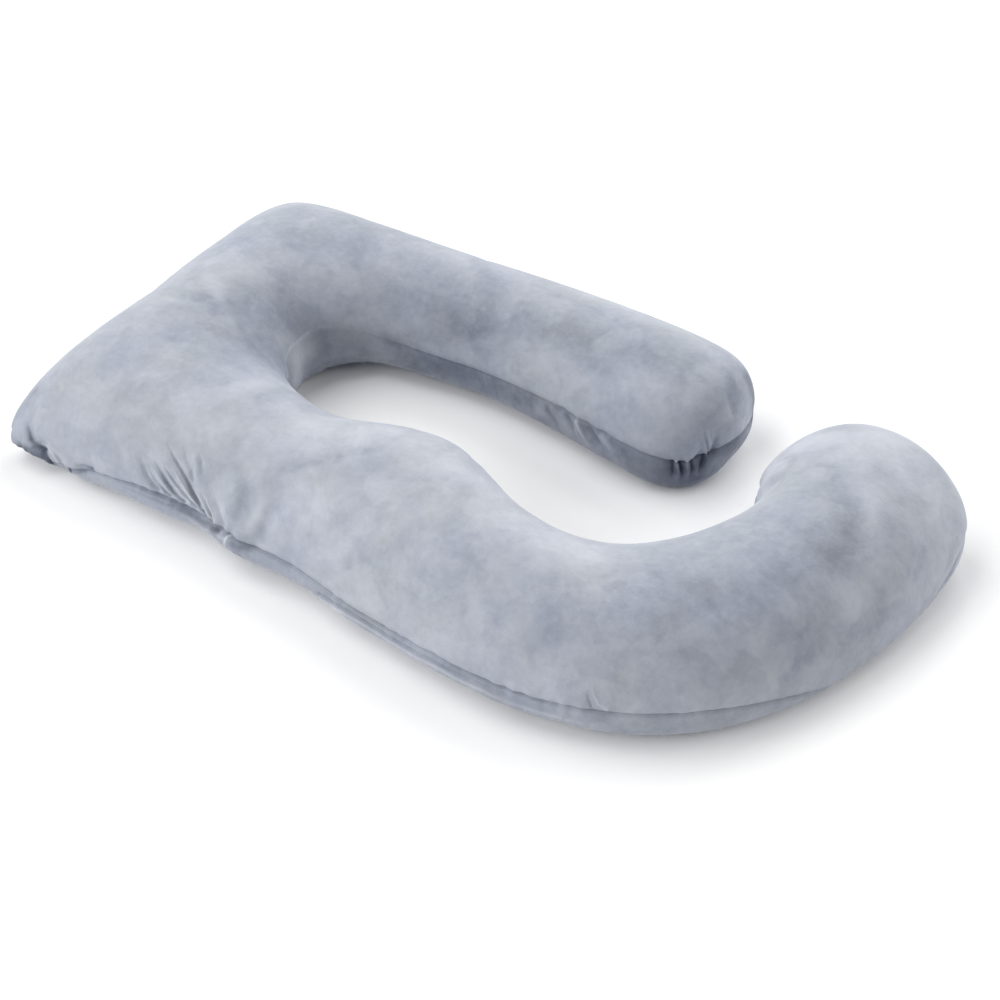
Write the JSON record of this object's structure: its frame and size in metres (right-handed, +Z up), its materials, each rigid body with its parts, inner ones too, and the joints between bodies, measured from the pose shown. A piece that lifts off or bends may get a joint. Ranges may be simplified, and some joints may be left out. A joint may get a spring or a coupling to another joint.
{
  "type": "body pillow",
  "caption": "Full-body pillow shaped like a letter G: a square head block, a straight leg and a longer wavy leg that hooks in, in one velvet cover with a single seam.",
  "frame": {"origin": "on the floor, under the middle of the pillow's box", "axes": "+Z up, out of the crown; +X from the head block to the legs' ends; +Y from the wavy leg to the straight one"},
  "size_m": [1.431, 0.824, 0.188],
  "materials": {
    "velvet": "short-pile blue-grey velvet, mottled lighter and darker where the nap lies differently"
  },
  "bodies": {
    "root": {"pillow": "velvet"}
  },
  "joints": []
}
